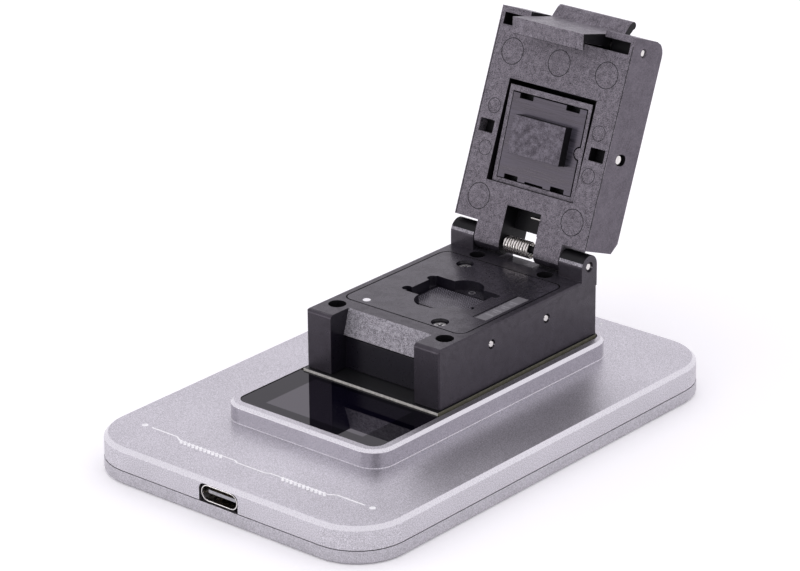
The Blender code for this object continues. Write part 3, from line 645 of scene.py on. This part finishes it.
def add_print(white):
    """The printed ornament: a thin line with jogs and hatching between two dots, and a rear dot."""
    mesh = bmesh.new()
    tops = []

    def stroke(points, width):
        for (x0, y0), (x1, y1) in zip(points, points[1:]):
            tops.append(SLAB_TOP + PRINT_Z + PRINT_STEP * len(tops))
            along = Vector((x1 - x0, y1 - y0))
            across = Vector((-along.y, along.x)).normalized() * width / 2
            grow = along.normalized() * width * OVERLAP
            corners = [(x0 - grow.x + across.x, y0 - grow.y + across.y),
                       (x0 - grow.x - across.x, y0 - grow.y - across.y),
                       (x1 + grow.x - across.x, y1 + grow.y - across.y),
                       (x1 + grow.x + across.x, y1 + grow.y + across.y)]
            add_prism(mesh, corners, SLAB_TOP - PRINT_SINK, tops[-1])

    def dot(x, y, radius, steps):
        add_prism(mesh, circle(x, y, radius, steps), SLAB_TOP - PRINT_SINK, SLAB_TOP + PRINT_Z)

    low = PRINT_Y - PRINT_DROP
    middle = low - PRINT_JOG
    for side in (-1, 1):
        dot(side * END_DOT_X, PRINT_Y, END_DOT_R, steps=24)
        stroke([(side * LINE_END, PRINT_Y), (side * JOG_OUT, PRINT_Y), (side * JOG_IN, low)], BOLD)
        stroke([(side * JOG_IN, low), (side * STEP_OUT, low)], FINE)
        stroke([(side * STEP_OUT, low), (side * STEP_IN, middle)], BOLD)
        for i in range(HATCH_COUNT):
            x = side * (HATCH_X + i)
            stroke([(x - HATCH_LEAN, low + HATCH_RISE), (x + HATCH_LEAN, low - HATCH_FALL)], HATCH_WIDTH)
    stroke([(-STEP_IN, middle), (STEP_IN, middle)], MIDDLE)
    dot(*REAR_DOT, REAR_DOT_R, steps=20)
    finish_piece(linked("printed_ornament", mesh, CASE_AXES), white, "case")


# ---------------------------------------------------------------- socket

# The base's front, and the rounding cut along the upper front edge of its posts
BASE_FRONT = -9.9
POST_ROUND = 0.9
POST_STEPS = 8
CUT_HALF_X = 17.0
CUT_CLEAR = 0.5
# Turns an outline raised along Z into one raised along X, with its x and y as Y and Z
ALONG_X = Matrix(((0, 0, 1, 0), (1, 0, 0, 0), (0, 1, 0, 0), (0, 0, 0, 1)))

# Where the base's surfaces change: the wells and the plate's recess, the notch and the ears
WELLS = ((-13.3, -4.5), (13.3, -4.5), (-8.4, 31.9), (8.4, 31.9))
WELL_R = 1.8
WELL_TOP = 23.4
RECESS_HALF_X = 14.9
RECESS_Y = (-1.5, 29.9)
RECESS_FLOOR = 19.0
RIM = 0.2
RIM_FOOT = 23.2
NOTCH_HALF_X = 10.4
NOTCH_Y = (-6.3, -4.4)
NOTCH_TOP = 18.6
RAMP_FOOT = 18.5
POST_SIDE_X = (9.6, 11.2)
EAR_TOP = 27.2

# The field of pins, with this many columns and rows on each side of its middle
PIN_PITCH = 0.5
PIN_COLUMNS = 13
PIN_ROWS = 8
PINS_Y = 13.6
PIN_R = 0.15
PIN_PROUD = 0.05
PIN_TAPER = 0.3
PIN_ANGLE = 20.0
FLOOR_HOLE = (5.3, 13.8)
FLOOR_HOLE_R = 0.28
FLOOR_HOLE_DEPTH = 0.4
FLOOR_HOLE_CLEAR = 0.45
FLOOR_RING = (0.3, 19.5)
FLOOR_RING_R = (0.45, 0.7)
FLOOR_RING_PROUD = 0.08

# Fine grooves in the floating plate: outline and depth, then a round one
PLATE_GROOVES = (([(10.68, 6.8), (10.95, 6.8), (11.2, 20.1), (10.93, 20.1)], 0.35),
                 ([(12.1, 23.3), (12.25, 23.2), (13.8, 24.55), (13.65, 24.65)], 0.2))
ROUND_GROOVE = (8.4, 26.0)
ROUND_GROOVE_R = (1.75, 1.87)
ROUND_GROOVE_DEPTH = 0.06
GROOVE_TOP = 25.0
CORNER_DOT = (-10.2, 0.5)
CORNER_DOT_R = 0.8
CORNER_DOT_PROUD = 0.02
CORNER_DOT_TAPER = 0.06
POCKET_HALF_X = 11.0
POCKET_Y = (3.5, 24.5)

# The strip on the floating plate and the plain bars printed across it
STRIP_X = (11.35, 13.9)
STRIP_Y = (6.9, 20.0)
STRIP_PROUD = 0.015
STRIP_TAPER = 0.005
BAR_COUNT = 10
BAR_Y = 9.4
BAR_PITCH = 0.82
BAR_WIDTH = 0.36
BAR_INSET = 0.35
BAR_INSET_STEP = 0.45
BAR_PROUD = 0.022

# The cross slot in a screw's head: its reach, and its depths below the head's top
CROSS_R = 1.3
CROSS_DEPTHS = (0.05, 0.6)


# The tilted ramp, which gets a painted sheen.
def on_ramp(centre, normal):
    return normal.y < -0.8 and normal.z > 0.2 and centre.z > RAMP_FOOT


def on_wall(centre, normal):
    """The wall at the back of the front notch, and the inner sides of the posts beside it, which get
    painted shade.
    """
    front, rear = NOTCH_Y
    back = abs(centre.x) < NOTCH_HALF_X and front < centre.y < rear and centre.z < NOTCH_TOP
    inner, outer = POST_SIDE_X
    side = inner < abs(centre.x) < outer and centre.y < rear and normal.x * centre.x < -9.0
    return back or side


def in_well(centre, normal):
    """The deep screw wells and the hollow that holds the floating plate, which get painted shade."""
    well = any(math.hypot(centre.x - x, centre.y - y) < WELL_R for x, y in WELLS)
    front, rear = RECESS_Y
    recess = abs(centre.x) < RECESS_HALF_X and front < centre.y < rear and centre.z > RECESS_FLOOR
    return centre.z < WELL_TOP and (well or recess)


def on_recess_rim(centre, normal):
    """The broken edge round the hollow of the floating plate, painted dark as shade along the gap."""
    front, rear = RECESS_Y
    near = abs(centre.x) < RECESS_HALF_X + RIM and front - RIM < centre.y < rear + RIM
    return near and centre.z > RIM_FOOT and abs(normal.z) < 0.95


# The tops of the ears, which get a painted shadow of the lid.
def on_ear_top(centre, normal):
    return centre.z > EAR_TOP and normal.z > 0.35


def on_barrel(centre, normal):
    """The round side of the hinge pin, which gets painted shade."""
    return abs(normal.x) < 0.5


def on_edge(centre, normal):
    """The floating plate's outer and inner walls, which get painted shade."""
    return abs(normal.z) < 0.5


def on_pocket_edge(centre, normal):
    """The broken edge round the chip pocket."""
    front, rear = POCKET_Y
    return abs(centre.x) < POCKET_HALF_X and front < centre.y < rear and normal.z > 0.25


def cross_test(node):
    """A test for the cross slot in a screw's head, which gets painted shade."""
    low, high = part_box(node)
    x, y, top = (low[0] + high[0]) / 2 / MM, (low[1] + high[1]) / 2 / MM, high[2] / MM
    shallow, deep = CROSS_DEPTHS

    def test(centre, normal):
        near = math.hypot(centre.x - x, centre.y - y) < CROSS_R
        return near and top - deep < centre.z < top - shallow

    return test


def add_base(look):
    """The socket's base, with the upper front edges of its posts rounded."""
    mesh = bmesh.new()
    outline = arc(BASE_FRONT + POST_ROUND, PLATE_TOP - POST_ROUND, POST_ROUND, 180.0, 90.0, POST_STEPS)
    outline += [(BASE_FRONT + POST_ROUND, PLATE_TOP + CUT_CLEAR),
                (BASE_FRONT - CUT_CLEAR, PLATE_TOP + CUT_CLEAR),
                (BASE_FRONT - CUT_CLEAR, PLATE_TOP - POST_ROUND)]
    add_prism(mesh, outline, -CUT_HALF_X, CUT_HALF_X)
    mesh.transform(ALONG_X)
    # The ramp gets a painted sheen; the notch's wall, the posts' inner sides, the wells and the plate's
    # hollow get painted shade.
    surfaces = [(look.ramp, on_ramp), (look.wall, on_wall), (look.recess, in_well)]
    base = refine("socket_base", look.charcoal, 0.18, extra=surfaces, cuts=mesh)
    # Painted shade on the broken edge round the plate's hollow and a painted shadow on the ear tops.
    for test in (on_recess_rim, on_ear_top):
        paint(base, len(surfaces), test)


def add_seat(look):
    """The contact block, with a hole and a field of pins in its top."""
    mesh = bmesh.new()
    add_prism(mesh, circle(*FLOOR_HOLE, FLOOR_HOLE_R, steps=16), SEAT_TOP - FLOOR_HOLE_DEPTH,
              SEAT_TOP + FLOOR_HOLE_DEPTH)
    refine("contact_block", look.plate, 0.05, cuts=mesh)
    mesh = bmesh.new()
    for i in range(-PIN_COLUMNS, PIN_COLUMNS + 1):
        for j in range(-PIN_ROWS, PIN_ROWS + 1):
            x, y = i * PIN_PITCH, PINS_Y + j * PIN_PITCH
            if math.hypot(x - FLOOR_HOLE[0], y - FLOOR_HOLE[1]) > FLOOR_HOLE_CLEAR:
                outline = circle(x, y, PIN_R, steps=6)
                add_prism(mesh, outline, SEAT_TOP - SINK, SEAT_TOP + PIN_PROUD, PIN_TAPER)
    finish_piece(linked("contact_pins", mesh, CASE_AXES), look.pins, "case",
                 PIN_ANGLE)


def add_plate(look):
    """The floating plate, with its grooves, its strip with bars and its white dot."""
    mesh = bmesh.new()
    for outline, depth in PLATE_GROOVES:
        add_prism(mesh, outline, PLATE_TOP - depth, GROOVE_TOP)
    add_ring(mesh, *ROUND_GROOVE, *ROUND_GROOVE_R, PLATE_TOP - ROUND_GROOVE_DEPTH, GROOVE_TOP)
    # The plate's walls and broken edges get painted shade; the broken edge round the chip pocket then
    # gets the plate's own colour back.
    plate = refine("adapter_plate", look.plate, 0.12, extra=[(look.wall, on_edge)], cuts=mesh,
                   edge_slot=1)
    paint(plate, 0, on_pocket_edge)
    strip = bmesh.new()
    outline = rectangle(*STRIP_X, *STRIP_Y)
    add_prism(strip, outline, PLATE_TOP - SINK, PLATE_TOP + STRIP_PROUD, STRIP_TAPER)
    bars = bmesh.new()
    for i in range(BAR_COUNT):
        y = BAR_Y + BAR_PITCH * i
        inset = BAR_INSET + BAR_INSET_STEP * (i * 5 % 3)
        outline = rectangle(STRIP_X[0] + inset, STRIP_X[1] - inset, y, y + BAR_WIDTH)
        add_prism(bars, outline, PLATE_TOP, PLATE_TOP + BAR_PROUD)
    dot = bmesh.new()
    outline = circle(*CORNER_DOT, CORNER_DOT_R, steps=28)
    add_prism(dot, outline, PLATE_TOP - SINK, PLATE_TOP + CORNER_DOT_PROUD, CORNER_DOT_TAPER)
    for name, mesh, surface in (("plate_strip", strip, look.strip), ("strip_bars", bars, look.bars),
                                ("corner_dot", dot, look.white)):
        finish_piece(linked(name, mesh, CASE_AXES), surface, "floating_plate")


def add_floor_ring(strip):
    """A small ring on the seat."""
    mesh = bmesh.new()
    add_ring(mesh, *FLOOR_RING, *FLOOR_RING_R, SEAT_TOP - SINK, SEAT_TOP + FLOOR_RING_PROUD, steps=28)
    finish_piece(linked("floor_ring", mesh, CASE_AXES), strip, "case")


def add_socket(look):
    add_base(look)
    add_seat(look)
    add_plate(look)
    add_floor_ring(look.strip)
    # Painted shade in the screws' cross slots and on the hinge pin's barrel.
    for node in ("plate_screw_front", "plate_screw_rear"):
        refine(node, look.dull_steel, 0.06, extra=[(look.recess, cross_test(node))])
    refine("hinge_pin", look.steel, extra=[(look.recess, on_barrel)])


# ---------------------------------------------------------------- lid

# The lid's openings in lid axes: X from and to, D from and to; then how deep their walls go
LID_OPENINGS = ((-4.5, 4.4, -6.0, 4.6), (-10.9, 10.9, 8.0, 28.8), (-15.5, 15.5, 36.5, 41.2),
                (-15.3, -11.8, 17.0, 19.8), (11.8, 15.3, 17.0, 19.8))
WALL_H = (-9.3, -0.3)

# Fine circles and two lines along the edges of the inner face. The circles are the face's fine grooves,
# drawn black as painted shade in them; the lines are painted shade along the edges.
LARGE_MARKS = ((-11.6, 33.8), (0.0, 33.8), (11.6, 33.8), (-11.6, 4.6), (11.6, 4.6))
LARGE_MARK_R = (2.53, 2.68)
SMALL_MARKS = ((-12.9, 22.6), (12.9, 22.6), (-12.8, 14.1), (12.8, 14.1))
SMALL_MARK_R = (1.44, 1.55)
EDGE_LINE_D = (0.2, 40.4)
EDGE_LINE_INSET = 0.2
EDGE_LINE_WIDTH = 0.15
MARK_H = (-0.03, 0.006)

# Where the lid's long sides and its knuckles begin, and how far down the frame's face reaches
SIDE_X = 16.0
KNUCKLE_D = 2.0
FRAME_FACE_H = -1.4
# Faces this near the highest one of the pusher belong to its raised block
BLOCK_DEPTH = 0.6


def in_lid(centre, normal):
    """A face's centre and normal in lid axes."""
    return LID_INVERSE @ (centre * MM), (LID_INVERSE.to_3x3() @ normal).normalized()


def in_opening(centre, normal):
    """The walls inside the lid's openings, which get painted shade."""
    at, _ = in_lid(centre, normal)
    deep = WALL_H[0] <= at.z <= WALL_H[1]
    return deep and any(x0 < at.x < x1 and d0 < at.y < d1 for x0, x1, d0, d1 in LID_OPENINGS)


def below_face(centre, normal):
    """The parts of the pressure frame that lie below its face, which get painted shade."""
    at, facing = in_lid(centre, normal)
    return facing.z < 0.9 or at.z < FRAME_FACE_H


# The pusher's faces that don't face out of the lid, which get painted shade.
def off_face(centre, normal):
    return in_lid(centre, normal)[1].z < 0.5


def on_side(centre, normal):
    """The lid's two long sides."""
    return abs(normal.x) > 0.9 and abs(centre.x) > SIDE_X


def on_knuckle(centre, normal):
    """The round undersides of the two hinge knuckles, which get the darker charcoal as painted shade."""
    at, facing = in_lid(centre, normal)
    round_side = abs(facing.x) < 0.5 and facing.y < 0.0 and -0.6 < facing.z < 0.9
    return at.y < KNUCKLE_D and round_side


def on_nose_edge(centre, normal):
    """The lower edge of the hook's nose, which gets painted shade."""
    facing = in_lid(centre, normal)[1]
    return facing.y < -0.55 and facing.z > 0.2


def on_end(centre, normal):
    """The latch's right end, which gets painted shade."""
    return normal.x > 0.9


def nowhere(centre, normal):
    """Passes no face: it keeps a slot for the material of the broken edges, which are drawn black as
    painted shade.
    """
    return False


# Black rings and edge lines on the lid's inner face: the rings stand for fine grooves, and their black,
# like the lines, is painted shade.
def add_lid_marks(mark):
    mesh = bmesh.new()
    for x, d in LARGE_MARKS:
        add_ring(mesh, x, d, *LARGE_MARK_R, *MARK_H, steps=64)
    for x, d in SMALL_MARKS:
        add_ring(mesh, x, d, *SMALL_MARK_R, *MARK_H)
    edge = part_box("lid")[1][0] / MM - EDGE_LINE_INSET
    for side in (-1, 1):
        x0, x1 = sorted((side * edge, side * (edge - EDGE_LINE_WIDTH)))
        add_prism(mesh, rectangle(x0, x1, *EDGE_LINE_D), *MARK_H)
    finish_piece(linked("lid_marks", mesh, LID_AXES), mark, body_of["lid"])


def add_lid(look):
    # Painted shade: black on the lid's broken edges and in its openings, and the darker charcoal on the
    # knuckles' undersides.
    surfaces = [(look.mark, nowhere), (look.recess, in_opening), (look.lid_side, on_side),
                (look.charcoal, on_knuckle)]
    refine("lid", look.lid_face, 0.17, extra=surfaces, edge_slot=1)
    add_lid_marks(look.mark)
    # Painted shade on the latch's right end and on the lower edge of its nose.
    latch = refine("latch", look.latch, 0.12, extra=[(look.recess, on_end)])
    paint(latch, 1, on_nose_edge)
    refine("latch_pin", look.steel)
    refine("pressure_pin", look.steel)
    # Painted shade on the pressure frame below its face and on the pusher's sides.
    refine("pressure_frame", look.lid_face, 0.08, extra=[(look.recess, below_face)])
    out = LID_AXES.to_3x3().col[2].normalized()
    top = max(v.co.dot(out) for v in frame["nodes"]["pusher_insert"].data.vertices)

    def on_block(centre, normal):
        return normal.dot(out) > 0.9 and (centre * MM).dot(out) > top - BLOCK_DEPTH * MM

    refine("pusher_insert", look.streaked, 0.08, extra=[(look.pad, on_block), (look.recess, off_face)])


# ---------------------------------------------------------------- stage

# Places and sizes in this section are in metres
LIGHT_AT = (-0.68, -0.88, 0.15)
LIGHT_AIM = (0.0, 0.0, 0.03)
LIGHT_SIZE = (0.4, 0.12)
LIGHT_RADIANCE = 6.0

# The floor lies a little lower, so that it doesn't coincide with the underside
FLOOR_HALF = 3.0
FLOOR_DROP = 0.00005
FLOOR_COLOUR = (0.97, 0.97, 0.97)
FLOOR_GLOW = 0.11

TENT_STRENGTH = 1.04
TENT_COLOUR = (1.0, 0.972, 1.035, 1.0)
# Towards its gap the tent fades to this share of its strength. The edges of the fading are cosines
# of the angle from the gap's direction, which is turned right of the front in degrees.
GAP_DARK = 0.1
GAP_EDGES = (0.8, 0.97)
GAP_TURN = 48.0


def add_light():
    """A softbox low on the front left."""
    width, height = LIGHT_SIZE
    lamp = bpy.data.lights.new("front_left_softbox", "AREA")
    lamp.shape = "RECTANGLE"
    lamp.size = width
    lamp.size_y = height
    lamp.energy = LIGHT_RADIANCE * math.pi * width * height
    made = bpy.data.objects.new("front_left_softbox", lamp)
    bpy.context.scene.collection.objects.link(made)
    made.location = LIGHT_AT
    made.rotation_euler = (Vector(LIGHT_AIM) - Vector(LIGHT_AT)).to_track_quat("-Z", "Y").to_euler()


def add_stage():
    mesh = bmesh.new()
    bmesh.ops.create_grid(mesh, x_segments=4, y_segments=4, size=FLOOR_HALF)
    floor = linked("floor", mesh, Matrix.Identity(4))
    floor.location = (0.0, 0.0, -FLOOR_DROP)
    white = Shader("pale_floor", FLOOR_COLOUR, 0.7, specular=0.2)
    white.surface.inputs["Emission Color"].default_value = (1.0, 1.0, 1.0, 1.0)
    white.surface.inputs["Emission Strength"].default_value = FLOOR_GLOW
    floor.data.materials.append(white.made)


def add_world():
    """A white tent, darker in a gap at the front right."""
    world = bpy.data.worlds.new("studio")
    world.use_nodes = True
    tree = world.node_tree
    place = tree.nodes.new("ShaderNodeTexCoord")
    facing = tree.nodes.new("ShaderNodeVectorMath")
    facing.operation = "DOT_PRODUCT"
    turn = math.radians(GAP_TURN)
    facing.inputs[1].default_value = (math.sin(turn), -math.cos(turn), 0.0)
    tree.links.new(place.outputs["Generated"], facing.inputs[0])
    spread = tree.nodes.new("ShaderNodeMapRange")
    spread.inputs["From Min"].default_value, spread.inputs["From Max"].default_value = GAP_EDGES
    spread.inputs["To Min"].default_value = TENT_STRENGTH
    spread.inputs["To Max"].default_value = TENT_STRENGTH * GAP_DARK
    tree.links.new(facing.outputs["Value"], spread.inputs["Value"])
    tree.links.new(spread.outputs["Result"], tree.nodes["Background"].inputs["Strength"])
    tree.nodes["Background"].inputs["Color"].default_value = TENT_COLOUR
    bpy.context.scene.world = world


# ---------------------------------------------------------------- assembly

def make_looks():
    """Every material under a short name."""
    return SimpleNamespace(
        metal=aluminium("blasted_aluminium", (0.553, 0.538, 0.572), 0.38, 0.2, 0.31, 0.012),
        cover_metal=aluminium("cover_aluminium", (0.485, 0.472, 0.502), 0.38, 0.2, 0.26, 0.012),
        machined=aluminium("machined_aluminium", (0.52, 0.508, 0.54), 0.16, 0.3, 0.12, 0.004),
        edge_metal=aluminium("bright_edge", (0.70, 0.69, 0.715), 0.3, 0.3, 0.05, 0.006),
        # The base's own colour, also put on the lid's knuckles as painted shade.
        charcoal=moulded("charcoal_moulding_and_shade", (0.010, 0.009, 0.012), (0.028, 0.026, 0.032), 0.33,
                         depth=0.007),
        lid_face=moulded("mottled_moulding", (0.012, 0.011, 0.013), (0.25, 0.232, 0.26), 0.42,
                         grain=0.15, mottle=1.0, patchy=0.2),
        latch=moulded("latch_moulding", (0.03, 0.028, 0.032), (0.27, 0.25, 0.28), 0.4,
                      grain=0.17, mottle=1.2, patchy=0.25),
        lid_side=moulded("smooth_moulding", (0.055, 0.048, 0.06), (0.12, 0.107, 0.128), 0.4,
                         grain=0.22, mottle=2.5, patchy=0.3),
        # The ramp's grain is its textured face; its colour, far lighter than the charcoal of the same
        # moulding, is a painted sheen.
        ramp=moulded("rough_moulding_and_sheen", (0.075, 0.071, 0.08), (0.5, 0.49, 0.52), 0.45,
                     grain=0.17, mottle=0.7, patchy=0.25),
        pad=moulded("pad_moulding", (0.008, 0.007, 0.011), (0.12, 0.112, 0.133), 0.36,
                    grain=0.2, mottle=1.2),
        plate=moulded("satin_charcoal", (0.011, 0.010, 0.013), (0.03, 0.028, 0.036), 0.25,
                      depth=0.006, mottle=3.0),
        streaked=streaked("satin_machined", (0.034, 0.032, 0.041), 0.3, (0.06, 1.0, 1.0), 0.8, 0.012),
        # Near-black painted as shade in wells, openings, slots and gaps, and on hidden ends, ear tops
        # and the pin's barrel.
        recess=plain("recess_black", (0.006, 0.0055, 0.007), 0.5, specular=0.2),
        # A darker black painted as shade in the front notch and on the floating plate's walls and broken
        # edges.
        wall=plain("wall_painted_shade", (0.009, 0.0078, 0.013), 0.3, grain=0.4, depth=0.001),
        # Black painted as shade: the lid's rings for its fine grooves, its edge lines and its broken
        # edges.
        mark=plain("mark_painted_shade", (0.006, 0.006, 0.008), 0.5, specular=0.2),
        pins=plain("pin_field", (0.19, 0.18, 0.21), 0.35),
        strip=plain("printed_strip", (0.14, 0.135, 0.145), 0.45, grain=0.2, depth=0.01),
        bars=plain("strip_bars", (0.26, 0.255, 0.27), 0.5, grain=0.2, depth=0.01),
        # Light grey painted as a highlight on the tongue's front and sides.
        tongue=plain("tongue_painted_highlight", (0.35, 0.35, 0.37), 0.3),
        black=plain("black_moulding", (0.01, 0.01, 0.012), 0.4),
        board_edge=plain("board_edge", (0.60, 0.585, 0.54), 0.6),
        # A darker copy of the board's edge colour, painted as shade on its sides facing left and right.
        board_side=plain("board_side", (0.13, 0.125, 0.085), 0.6),
        board_top=plain("board_face", (0.007, 0.007, 0.008), 0.4),
        white=plain("white_print", (0.94, 0.94, 0.95), 0.5),
        steel=bright_metal("bright_steel", (0.80, 0.78, 0.75), 0.2),
        dull_steel=bright_metal("dull_steel", (0.92, 0.91, 0.89), 0.3),
        spring=bright_metal("spring_steel", (0.80, 0.77, 0.73), 0.26),
        gold=bright_metal("gold_contacts", (0.8, 0.6, 0.3), 0.25),
        glass=cover_glass("black_glass", (0.0012, 0.001, 0.003), 0.2),
        active=cover_glass("display_area", (0.0025, 0.002, 0.006), 0.7),
    )


add_camera()
add_stage()
add_world()
add_light()
bpy.context.scene.view_settings.view_transform = "Standard"
looks = make_looks()
add_case(looks)
add_print(looks.white)
add_socket(looks)
add_lid(looks)
add_springs(looks.spring)
